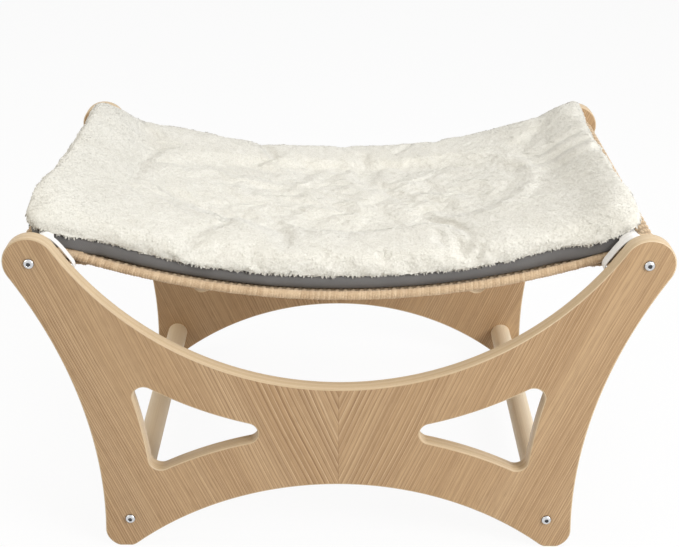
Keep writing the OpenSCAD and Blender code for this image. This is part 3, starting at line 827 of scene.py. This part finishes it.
# a cord wound closely round the sheet's edge
def makeCordedEdge(end, face):
    f = edgeForm
    x = np.linspace(-f["reach"], f["reach"], 400)
    path, length = evenly(np.stack([x, sheetHeight(x, 0)], -1), f["pitch"] / f["steps"], 1)
    n = pathNormals(path)
    turn = turnOf(f["around"])
    s = np.linspace(0, length, len(path))
    rng = np.random.default_rng(f["seeds"][end])
    phase = s[:, None] / f["pitch"] - face * turn[None, :] / (2 * math.pi)
    wrapIndex = np.floor(phase).astype(int)
    wrapIndex -= wrapIndex.min()
    part = phase - np.floor(phase)
    loose = rng.normal(0, f["loose"], wrapIndex.max() + 1)[wrapIndex]
    ridge = np.sqrt(np.maximum(0, 1 - (2 * part - 1) ** 2))
    radius = f["core"] + loose + f["ridge"] * ridge
    taper = np.sqrt(np.clip(np.minimum(s, length - s) / f["taper"], f["leastTaper"], 1))[:, None]
    radius = radius * taper
    points = np.stack([path[:, None, 0] + n[:, None, 0] * radius * np.sin(turn),
                       face * f["out"] + radius * np.cos(turn),
                       path[:, None, 1] + n[:, None, 1] * radius * np.sin(turn)], -1)
    cord = makePiece(f"corded_edge_{end}", points, tubeFaces(len(path), f["around"]), [sisalCord])
    # low in the grooves between the turns, where the material paints shade
    setValues(cord, "yarnHeight", f["valley"] + f["crest"] * ridge)
    setValues(cord, "yarnTone", rng.random(wrapIndex.max() + 1)[wrapIndex])
    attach(cord, "frame")
    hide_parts(f"sling_edge_{end}")
    return cord


stitchForm = dict(pitch=6.0, length=4.6, wide=0.55, tall=0.4, rows=(-0.7, 0.7), rings=7, around=8,
                  slant=0.12, rise=0.1, bow=0.25, first=4, last=3)


# two rows of stitches under each sleeve's lap
def makeStitching(side, label):
    f = stitchForm
    p = np.array([tailX, sheetHeight(tailX, 0) - slingForm["thick"] * 1.5])
    outer = slingForm["bore"] + slingForm["thick"]
    a = touchAngle(p, upperSeat, outer, 1)
    touch = upperSeat + outer * np.array([math.cos(a), math.sin(a)])
    slope = (touch - p) / np.linalg.norm(touch - p)
    down = np.array([slope[1], -slope[0]])
    middle = p + slope * slingForm["lap"] / 2
    u = np.linspace(-1, 1, f["rings"])[:, None]
    swell = np.sqrt(np.maximum(0.02, 1 - u ** 4))
    turn = turnOf(f["around"])
    points, faces = [], []
    for row in f["rows"]:
        for y in np.arange(-slingForm["edge"] + f["first"], slingForm["edge"] - f["last"], f["pitch"]):
            across = row + f["wide"] * swell * np.cos(turn) + f["slant"] * u
            out = f["rise"] + f["tall"] * swell * np.sin(turn) + f["bow"] * (1 - u ** 2)
            x = middle[0] + slope[0] * across + down[0] * out
            z = middle[1] + slope[1] * across + down[1] * out
            faces += tubeFaces(f["rings"], f["around"], len(points) * f["rings"] * f["around"])
            points.append(np.stack([side * x, np.broadcast_to(y + u * f["length"] / 2, x.shape), z], -1))
    seam = makePiece(f"sleeve_stitching_{label}", np.concatenate(points), faces, [thread])
    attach(seam, "frame")
    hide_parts(f"sleeve_seam_{label}")
    return seam


sheet, slingLength = makeSling()
trims = [makeCordedEdge("front", -1), makeCordedEdge("rear", 1),
         makeStitching(-1, "left"), makeStitching(1, "right")]
print("sling made")


# pad; the two values of a sag are for the left and the right corner

padForm = dict(halfLength=258, halfWidth=157, shift=-7, corner=11, leastCorner=4, pull=9, push=3.5,
               lift=0.6, endLift=2.6, liftFrom=120, liftOver=110, sagOut=(10.5, 7.5), sagDown=(11.5, 7.0),
               sagFrom=196, sagOver=52, sagFront=0.72, sagFrontOver=0.28, sagInset=30, sagFade=28,
               dowel=11, band=12, bandThick=3.5, floor=1.5, fleece=8.5, crown=7.5, middle=60, restGap=0.4,
               roundGap=0.9, rampFrom=206, rampTo=256, rampClear=1.5, across=128, deep=78)
rampRise = (upperSeat[1] + slingForm["bore"] + slingForm["thick"] + padForm["rampClear"]
            - float(sheetHeight(upperSeat[0], slingForm["thick"] / 2)))


# the pad lies on the sheet and climbs over the sleeves at its ends
def padUnder(x):
    f = padForm
    share = smooth((np.abs(x) - f["rampFrom"]) / (f["rampTo"] - f["rampFrom"]))
    return sheetHeight(x, slingForm["thick"] / 2) + f["restGap"] + rampRise * share


def crownAt(inset):
    rest = 1 - np.clip(np.asarray(inset, float) / padForm["middle"], 0, 1)
    return padForm["crown"] * float(np.sqrt(1 - rest ** 3))


def edgePlaces():
    a = np.linspace(-1, 1, padForm["across"] + 1)
    b = np.linspace(-1, 1, padForm["deep"] + 1)
    one, two = np.ones(len(a) - 1), np.ones(len(b) - 1)
    return np.concatenate([np.stack([a[:-1], -one], -1), np.stack([two, b[:-1]], -1),
                           np.stack([-a[:-1], one], -1), np.stack([-two, -b[:-1]], -1)])


places = edgePlaces()


# the rear left corner lies a little further in than the front left one,
# and the front right one further out
def pulled(x, y):
    f = padForm
    right = np.clip(0.5 + (x - f["shift"]) / (2 * f["halfLength"]), 0, 1)
    rear = np.clip(0.5 + y / (2 * f["halfWidth"]), 0, 1)
    return x + f["pull"] * (1 - right) * rear + f["push"] * right * (1 - rear)


def padPlan(inset):
    f = padForm
    half = np.array([f["halfLength"] - inset, f["halfWidth"] - inset])
    r = max(f["corner"] - inset, f["leastCorner"])
    q = places * half
    core = np.clip(q, -(half - r), half - r)
    d = q - core
    p = core + r * d / np.linalg.norm(d, axis=1)[:, None] + np.array([f["shift"], 0])
    return np.stack([pulled(p[:, 0], p[:, 1]), p[:, 1]], -1)


# the band shows more of itself towards the ends
def endLift(x):
    f = padForm
    return f["lift"] + f["endLift"] * smooth((np.abs(x) - f["liftFrom"]) / f["liftOver"])


# the front corners sag forwards over the ends of the sleeves
def cornerSag(x, y, inset):
    f = padForm
    end = smooth((np.abs(x - f["shift"]) - f["sagFrom"]) / f["sagOver"])
    return end * smooth((-y / (f["halfWidth"] - inset) - f["sagFront"]) / f["sagFrontOver"])


def padRing(inset, height, lifted=0.0, sagged=0.0):
    f = padForm
    p = padPlan(inset)
    z = padUnder(p[:, 0]) + height + lifted * endLift(p[:, 0])
    sag = cornerSag(p[:, 0], p[:, 1], inset)
    out, down = (np.where(p[:, 0] < 0, *f[key]) for key in ("sagOut", "sagDown"))
    p[:, 1] -= out * sag * float(smooth((f["sagInset"] - inset) / f["sagFade"]))
    return np.concatenate([p, (z - down * sagged * sag)[:, None]], 1)


# a closed form from rings of (inset, height, share of the lift, share of the sag), with a grid of points
# across its bottom and its top
def padShell(profile):
    f = padForm
    nx, ny, count = f["across"], f["deep"], len(places)
    rings = [padRing(*row) for row in profile]
    points = list(np.concatenate(rings))
    faces = ringFaces(len(rings), count)
    total = len(rings) * count
    for ring, (inset, height) in ((0, profile[0][:2]), (len(rings) - 1, profile[-1][:2])):
        half = np.array([f["halfLength"] - inset, f["halfWidth"] - inset])
        ids = np.zeros((nx + 1, ny + 1), int)
        base = ring * count
        ids[:nx, 0] = base + np.arange(nx)
        ids[nx, :ny] = base + nx + np.arange(ny)
        ids[nx:0:-1, ny] = base + nx + ny + np.arange(nx)
        ids[0, ny:0:-1] = base + 2 * nx + ny + np.arange(ny)
        a, b = np.meshgrid(*(np.linspace(-1, 1, k + 1)[1:-1] for k in (nx, ny)), indexing="ij")
        x, y = pulled(a * half[0] + f["shift"], b * half[1]), b * half[1]
        points += list(np.stack([x, y, padUnder(x) + height], -1).reshape(-1, 3))
        ids[1:-1, 1:-1] = total + np.arange((nx - 1) * (ny - 1)).reshape(nx - 1, ny - 1)
        total += (nx - 1) * (ny - 1)
        quads = np.stack([ids[:-1, :-1], ids[1:, :-1], ids[1:, 1:], ids[:-1, 1:]], -1)
        faces += quads.reshape(-1, 4).tolist()
    return np.array(points), faces


# how high the sheet, its sleeves, the bare dowels and the wound edge reach under the pad
def frameTop(x, y):
    x, y = np.abs(x), np.abs(y)
    roundGap = padForm["roundGap"]
    covered = y < slingForm["edge"] + 2 * roundGap
    radius = np.where(covered, slingForm["bore"] + slingForm["thick"], padForm["dowel"]) + roundGap
    rise = np.sqrt(np.maximum(radius ** 2 - (x - upperSeat[0]) ** 2, 0))
    top = np.where(rise > 0, upperSeat[1] + rise, 0)
    woven = sheetHeight(x, slingForm["thick"] / 2) + padForm["restGap"]
    top = np.maximum(top, np.where(covered & (x < upperSeat[0]), woven, 0))
    wound = edgeForm["core"] + edgeForm["ridge"] + roundGap
    rise = np.sqrt(np.maximum(wound ** 2 - (y - edgeForm["out"]) ** 2, 0))
    onEdge = (rise > 0) & (x < edgeForm["reach"] + 4 * roundGap)
    return np.maximum(top, np.where(onEdge, sheetHeight(x, 0) + rise, 0))


# the rings that bulge, and puckers of (size, seed, depth)
baseForm = dict(wallGap=0.5, firstBulge=3, lastBulge=12, puckers=((34, 3.0, 0.9), (11, 5.0, 0.35)))


# a tray of cloth: floor, rounded side band, inner wall and inner floor
def makeBase():
    f = padForm
    band, thick, floor = f["band"], f["bandThick"], f["floor"]
    wall = thick + baseForm["wallGap"]
    profile = [(f["middle"], 0), (40, 0), (20, 0), (8, 0), (2.6, 0.05, 0, 0.1), (0.8, 0.35, 0, 1),
               (-0.5, 1.2, 0, 1), (-1.3, 2.8, 0, 1), (-1.6, 5.0, 0.1, 1), (-1.4, 7.5, 0.4, 0.95),
               (-0.7, 9.8, 0.8, 0.9), (0.4, 11.4, 1, 0.85), (1.8, band, 1, 0.7), (thick, band, 1, 0.4),
               (wall, 9, 0.5), (wall, 3), (wall + 1.5, floor), (20, floor), (f["middle"], floor)]
    points, faces = padShell(profile)
    plan = padPlan(0)
    rings, count = len(profile), len(places)
    first, last = baseForm["firstBulge"], baseForm["lastBulge"]
    ring = np.arange(rings)
    bulge = np.where((ring >= first) & (ring <= last), np.sin((ring - first) / (last - first) * math.pi), 0)
    level = np.concatenate([plan, np.zeros((count, 1))], 1)
    pucker = sum(noiseOn(level, size, seed) * deep for size, seed, deep in baseForm["puckers"])
    walls = points[:rings * count].reshape(rings, count, 3)
    walls[..., :2] += outwards(plan, False) * (pucker * bulge[:, None])[..., None]
    points[:, 2] = np.maximum(points[:, 2], frameTop(points[:, 0], points[:, 1]))
    base = makePiece("cushion_base", points, faces, [baseFabric])
    cloth = np.zeros((len(points), 3))
    cloth[:rings * count, 0] = np.tile(lengthsOn(plan), rings)
    cloth[:rings * count, 1] = np.repeat(lengthsOn(np.array([row[:2] for row in profile], float)), count)
    cloth[rings * count:, :2] = points[rings * count:, :2]
    setPlaces(base, "clothPlace", cloth)
    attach(base, "pad")
    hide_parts("pad_base")


def makeWadding():
    f = padForm
    profile = [(f["middle"], 1.7), (20, 1.7), (6, 1.8), (4.3, 3.2), (4.2, 6), (4.2, 9), (3.8, 11.6)]
    profile += [(d, f["band"] + crownAt(d) - 0.2) for d in (6, 9, 14, 22, 34, 48, f["middle"])]
    points, faces = padShell(profile)
    points[:, 2] += 0.15 * noiseOn(points, 18, 6.0)
    core = makePiece("cushion_wadding", points, faces, [wadding])
    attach(core, "pad")
    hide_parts("pad_filling")


makeBase()
makeWadding()
print("pad base and filling made")


fleeceForm = dict(lipRing=8, edgeRings=6.0, rearRise=5.0, rearFrom=(150, 90), rearOver=(80, 60), lump=1.1,
                  lumpSize=75, tuft=0.5, tuftSize=5.5, cap=4.0, frames=20)
puffForm = dict(quality=5, mass=0.15, tension_stiffness=8, compression_stiffness=8, shear_stiffness=4,
                bending_stiffness=0.6, vertex_group_mass="held", use_pressure=True,
                uniform_pressure_force=1.2, shrink_min=-0.02)
# soft folds in the cover near its ends: x, y, half length, slant, depth, half width
foldForm = [(222, 22, 34, 0.10, 2.2, 6), (218, 48, 30, 0.16, 1.6, 6), (226, -8, 26, 0.04, 1.3, 7),
            (-212, 74, 24, -0.2, 1.2, 7)]


def fleeceProfile():
    f = padForm
    band, top = f["band"], f["band"] + f["fleece"]
    profile = [(d, band + crownAt(d)) for d in (f["middle"], 44, 30, 18, 9)]
    profile += [(f["bandThick"], band, 1, 0.4), (1.5, band, 1, 0.7), (-0.8, 11.8, 1, 0.9),
                (-2.4, band, 1, 0.95), (-3.3, 12.9, 1, 0.95), (-3.7, 14.6, 0.9, 0.9),
                (-3.5, 16.4, 0.8, 0.85), (-2.8, 18.2, 0.6, 0.75), (-1.4, 20.3, 0.4, 0.65)]
    profile += [(d, top + crownAt(d), max(0, 0.25 - 0.04 * d), max(0, 0.6 - 0.025 * d))
                for d in (1, 3.5, 7, 12, 18, 25, 33, 42, 51, f["middle"])]
    return profile


def creases(points):
    depth = np.zeros(len(points))
    for x, y, reach, slant, deep, wide in foldForm:
        u, v = points[:, 0] - x, points[:, 1] - y - slant * (points[:, 0] - x)
        fold = np.exp(-(u / reach) ** 2 - (v / wide) ** 2)
        swell = np.exp(-(u / reach) ** 2 - ((v - 2.2 * wide) / (1.4 * wide)) ** 2)
        depth += deep * fold - 0.6 * deep * swell
    return depth


# blows the cover up a little with the cloth solver, held along the seam
def puff(piece, start, free):
    held = piece.vertex_groups.new(name="held")
    held.add(np.nonzero(~free)[0].tolist(), 1.0, "REPLACE")
    cloth = piece.modifiers.new("puff", "CLOTH")
    for key, value in puffForm.items():
        setattr(cloth.settings, key, value)
    cloth.settings.effector_weights.gravity = 0
    cloth.collision_settings.use_collision = False
    cloth.point_cache.frame_start, cloth.point_cache.frame_end = 1, fleeceForm["frames"]
    for number in range(1, fleeceForm["frames"] + 1):
        scene.frame_set(number)
    moved = readMesh(piece.evaluated_get(bpy.context.evaluated_depsgraph_get()).to_mesh())[0]
    piece.modifiers.clear()
    scene.frame_set(1)
    d = moved - start
    far = np.linalg.norm(d, axis=1)
    print("puff: mean move", round(float(far[free].mean()), 2), "most", round(float(far.max()), 2), "mm")
    d *= np.minimum(1, fleeceForm["cap"] / np.maximum(far, 1e-6))[:, None]
    return start + d


def makeFleecePad():
    f = fleeceForm
    profile = fleeceProfile()
    points, faces = padShell(profile)
    body = makePiece("cushion_fleece", points, faces, [fleece])
    count = len(places)
    index = np.arange(len(points))
    wallEnd = len(profile) * count
    onTop = index >= wallEnd + (padForm["across"] - 1) * (padForm["deep"] - 1)
    free = ((index >= f["lipRing"] * count) & (index < wallEnd)) | onTop
    points = puff(body, points, free)
    edge = np.clip((index - f["lipRing"] * count) / (f["edgeRings"] * count), 0, 1) * free
    edge[onTop] = 1
    level = points * [1, 1, 0]
    lumps = noiseOn(level, f["lumpSize"], 1.7) + 0.5 * noiseOn(level, f["lumpSize"] / 2.2, 4.1)
    points[:, 2] += edge * f["lump"] * lumps
    points[:, 2] -= creases(points) * edge
    rear = [smooth((points[:, k] - f["rearFrom"][k]) / f["rearOver"][k]) for k in (0, 1)]
    points[:, 2] += f["rearRise"] * (rear[0] * rear[1]) * edge
    writePoints(body.data, points)
    finer = body.modifiers.new("finer", "SUBSURF")
    finer.levels = finer.render_levels = 1
    mesh = bpy.data.meshes.new_from_object(body.evaluated_get(bpy.context.evaluated_depsgraph_get()))
    body.modifiers.clear()
    body.data = mesh
    co, no = readMesh(mesh)
    rough = f["tuft"] * (noiseOn(co, f["tuftSize"], 8.0) + 0.6 * noiseOn(co, f["tuftSize"] / 2, 9.0))
    writePoints(mesh, co + no * rough[:, None])
    # pileTip is low in the hollows of the roughened surface, where the material paints shade
    setValues(body, "pileTip", 0.35 + 0.3 * np.clip(rough / f["tuft"], -1, 1))
    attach(body, "pad")
    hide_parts("pad_fleece")
    return body


pileForm = dict(locks=41000, fringe=6000, length=3.2, fringeLength=2.7, thick=0.85, rim=2.5, root=0.4,
                sideTop=7.5, steep=0.75, bareLip=2, lipTop=4.5, ownNormal=0.25,
                tips=(0.0, 0.0, 0.0, 0.5, 0.5, 0.5, 1.0), seed=31)


# short locks lie all over the fleece, and more of them hang from its lower lip
def makePile(body):
    f = pileForm
    mesh = body.data
    mesh.calc_loop_triangles()
    tri = np.zeros(len(mesh.loop_triangles) * 3, np.int32)
    mesh.loop_triangles.foreach_get("vertices", tri)
    tri = tri.reshape(-1, 3)
    co, no = readMesh(mesh)
    a, b, c = co[tri[:, 0]], co[tri[:, 1]], co[tri[:, 2]]
    area = np.linalg.norm(np.cross(b - a, c - a), axis=1) / 2
    x, y, z = ((a + b + c) / 3).T
    above = z - padUnder(x) - endLift(x)
    upward = no[tri].mean(1)[:, 2]
    level = padForm["band"]
    shown = (upward > 0.02) | (above < level + f["sideTop"]) & (np.abs(upward) < f["steep"])
    left = pulled(padForm["shift"] - padForm["halfLength"], y)
    right = padForm["shift"] + padForm["halfLength"]
    rim = (x < left + f["rim"]) | (x > right - f["rim"]) | (np.abs(y) > padForm["halfWidth"] - f["rim"])
    rng = np.random.default_rng(f["seed"])

    def scatter(weight, number):
        pick = rng.choice(len(tri), number, p=weight / weight.sum())
        u, v = rng.random((2, number, 1))
        u, v = np.where(u + v > 1, 1 - u, u), np.where(u + v > 1, 1 - v, v)
        place = a[pick] + u * (b[pick] - a[pick]) + v * (c[pick] - a[pick])
        return place, no[tri[pick, 0]] * (1 - u - v) + no[tri[pick, 1]] * u + no[tri[pick, 2]] * v

    place, normal = scatter(area * shown * ~(rim & (above < level + f["bareLip"])), f["locks"])
    lipShown = (above < level + f["lipTop"]) * (upward > -0.97)
    lipPlace, lipNormal = scatter(area * rim * lipShown, f["fringe"])
    place, normal = np.concatenate([place, lipPlace]), unit(np.concatenate([normal, lipNormal]))
    count = len(place)
    lip = np.arange(count) >= f["locks"]
    swirl = 2 * math.pi * (noiseOn(place, 16, 12.0) + 0.25 * rng.normal(0, 1, count))
    lean = np.stack([np.cos(swirl), np.sin(swirl), np.zeros(count)], -1)
    lean = unit(lean - normal * np.sum(lean * normal, 1)[:, None])
    lean[lip] = 0.45 * lean[lip] + 0.25 * normal[lip] + np.array([0, 0, -0.9])
    lean = unit(lean)
    hang = 0.35 + 0.6 * rng.random(count) ** 2 + 0.35 * np.maximum(0, noiseOn(place, 22, 15.0))
    size = np.where(lip, f["fringeLength"] * hang, f["length"] * (0.6 + 0.8 * rng.random(count)))[:, None]
    lift = np.where(lip, 0.3, 0.02 + 0.14 * rng.random(count) ** 2)[:, None]
    wide = unit(np.cross(normal, lean)) * (f["thick"] * (0.8 + 0.5 * rng.random(count)))[:, None]
    tall = normal * 0.5 * f["thick"]
    root = place - f["root"] * normal
    mid = place + size * (0.5 * lean + 0.55 * lift * normal)
    points = np.stack([root + wide, place + tall, root - wide, mid + 0.85 * wide, mid + 0.9 * tall,
                       mid - 0.85 * wide, place + size * (lean + lift * normal)], 1)
    first = len(f["tips"]) * np.arange(count)[:, None]
    quads = np.concatenate([first + np.array(k) for k in ((1, 4, 3, 0), (2, 5, 4, 1))])
    tris = np.concatenate([first + np.array(k) for k in ((4, 6, 3), (5, 6, 4))])
    piece = makePiece("cushion_pile", points, quads.tolist() + tris.tolist(), [fleece], turn=False)
    own = readMesh(piece.data)[1]
    blend = f["ownNormal"] * own + (1 - f["ownNormal"]) * np.repeat(normal, len(f["tips"]), 0)
    piece.data.normals_split_custom_set_from_vertices(unit(blend).tolist())
    # pileTip runs from 0 at a lock's root to 1 at its tip; the material paints shade where it is low
    setValues(piece, "pileTip", np.tile(f["tips"], count))
    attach(piece, "pad")
    print("pile:", count, "locks,", len(piece.data.polygons), "faces")


makePile(makeFleecePad())
print("fleece made")


# elastic loops: round the dowel, up to the pad's corner and down along the board's hollow edge

loopForm = dict(thick=1.3, edgeThick=0.28, near=182, tab=153.5, tabOver=3, tabTo=256, tabFade=5, ribs=5,
                ribDepth=0.24, columns=16, step=1.1, spans=24, wide=(170, 297), narrow=(175, 300.2),
                course=[(273.3, 286), (269.6, 294.7), (261.5, 299.5), (254, 303.4), (247.5, 303.2),
                        (240, 297), (232.6, 287), (227.4, 278.4), (228.6, 273), (236, 271),
                        (248.5, 271.8), (261, 273.7), (269.7, 277.3)])


# a smooth closed curve through the course
def loopPath():
    p = np.asarray(loopForm["course"], float)
    t = np.linspace(0, 1, loopForm["spans"], endpoint=False)[:, None]
    runs = []
    for k in range(len(p)):
        a, b, c, d = p[k - 1], p[k], p[(k + 1) % len(p)], p[(k + 2) % len(p)]
        square, cube = 2 * a - 5 * b + 4 * c - d, 3 * b - a - 3 * c + d
        runs.append(0.5 * (2 * b + (c - a) * t + square * t ** 2 + cube * t ** 3))
    return evenly(np.concatenate(runs + [runs[0][:1]]), loopForm["step"], 2)


# back is where the inner edge lies, and above the height tabFrom the elastic reaches in under the pad
def makeLoop(end, face, label, side, back, tabFrom):
    f = loopForm
    path, length = loopPath()
    path = path[:-1]
    n = outwards(path, False)
    high = smooth((path[:, 1] - tabFrom) / f["tabOver"])
    inside = back + (f["tab"] - back) * (high * smooth((f["tabTo"] - path[:, 0]) / f["tabFade"]))
    u = np.linspace(0, 1, f["columns"])
    rib = 0.5 + 0.5 * np.cos(2 * math.pi * f["ribs"] * (u - 0.5))
    half = f["thick"] / 2 - f["ribDepth"] * (1 - rib)
    half[0] = half[-1] = f["thick"] * f["edgeThick"]
    y = np.concatenate([u, u[::-1]])[None, :] * (inside - f["near"])[:, None] + f["near"]
    h = np.concatenate([half, -half[::-1]])[None, :] * np.ones((len(path), 1))
    points = np.stack([side * (path[:, None, 0] + n[:, None, 0] * h), face * y,
                       path[:, None, 1] + n[:, None, 1] * h], -1)
    faces = ringFaces(len(path), 2 * f["columns"], closed=True)
    loop = makePiece(f"elastic_loop_{end}_{label}", points, faces, [elastic])
    # ribHeight also sets the painted highlight on the rib crests and the painted shade in the grooves
    setValues(loop, "ribHeight", np.tile(np.concatenate([rib, rib[::-1]]), len(path)))
    s = np.broadcast_to(np.linspace(0, length, len(path) + 1)[:-1, None], y.shape)
    setPlaces(loop, "clothPlace", np.stack([s, y, np.zeros(y.shape)], -1))
    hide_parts(f"corner_loop_{end}_{label}")
    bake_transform(loop)


for end, face in (("front", -1), ("rear", 1)):
    for label, side in (("left", -1), ("right", 1)):
        width = "narrow" if (end, label) == ("front", "left") else "wide"
        makeLoop(end, face, label, side, *loopForm[width])
print("loops made")


# floor, world and lamps

stageForm = dict(size=8.0, floor=(0.86, 0.86, 0.86, 1), white=(1, 1, 1, 1), glow=0.93, ambient=0.27)
lampForm = {
    "key": dict(place=(1.45, -1.15, 1.15), aim=(0.1, 0, 0.2), size=1.0, power=36.5, tint=(1, 1, 1)),
    "fill": dict(place=(-1.7, -0.5, 1.35), aim=(0, 0, 0.25), size=1.4, power=16, tint=(1, 0.93, 0.81)),
    "top": dict(place=(0.2, 0.2, 2.0), aim=(0, 0, 0.25), size=1.6, power=17, tint=(1, 1, 1)),
}


# one for what the camera sees, straight or in a reflection, and zero for the light on the part
def seenRay(tree):
    path = put(tree, "ShaderNodeLightPath").outputs
    indirect = calc(tree, "MAXIMUM", path["Is Glossy Ray"], path["Is Transmission Ray"])
    return calc(tree, "MAXIMUM", path["Is Camera Ray"], indirect)


def makeFloor():
    f = stageForm
    h = f["size"] / 2
    mesh = bpy.data.meshes.new("studio_floor")
    mesh.from_pydata([(-h, -h, 0), (h, -h, 0), (h, h, 0), (-h, h, 0)], [], [(0, 1, 2, 3)])
    floor = bpy.data.objects.new("studio_floor", mesh)
    scene.collection.objects.link(floor)
    material = bpy.data.materials.new("pale_floor")
    material.use_nodes = True
    tree = material.node_tree
    tree.nodes.clear()
    matt = put(tree, "ShaderNodeBsdfDiffuse", {"Color": f["floor"]}).outputs[0]
    glow = put(tree, "ShaderNodeEmission", {"Color": f["white"], "Strength": 1.0}).outputs[0]
    share = times(tree, seenRay(tree), f["glow"])
    both = put(tree, "ShaderNodeMixShader", {0: share, 1: matt, 2: glow}).outputs[0]
    put(tree, "ShaderNodeOutputMaterial", {"Surface": both})
    mesh.materials.append(material)


def makeLight():
    world = bpy.data.worlds.new("studio")
    scene.world = world
    world.use_nodes = True
    tree = world.node_tree
    tree.nodes.clear()
    strength = spread(tree, seenRay(tree), 0.0, 1.0, stageForm["ambient"], 1.0)
    sky = put(tree, "ShaderNodeBackground", {"Color": stageForm["white"], "Strength": strength}).outputs[0]
    put(tree, "ShaderNodeOutputWorld", {"Surface": sky})
    for name, f in lampForm.items():
        data = bpy.data.lights.new(f"lamp_{name}", "AREA")
        data.size, data.energy, data.color = f["size"], f["power"], f["tint"]
        lamp = bpy.data.objects.new(f"lamp_{name}", data)
        scene.collection.objects.link(lamp)
        lamp.location = f["place"]
        lamp.rotation_euler = (Vector(f["aim"]) - Vector(f["place"])).to_track_quat("-Z", "Y").to_euler()
    scene.view_settings.view_transform = "Standard"


makeFloor()
makeLight()
print("stage made")
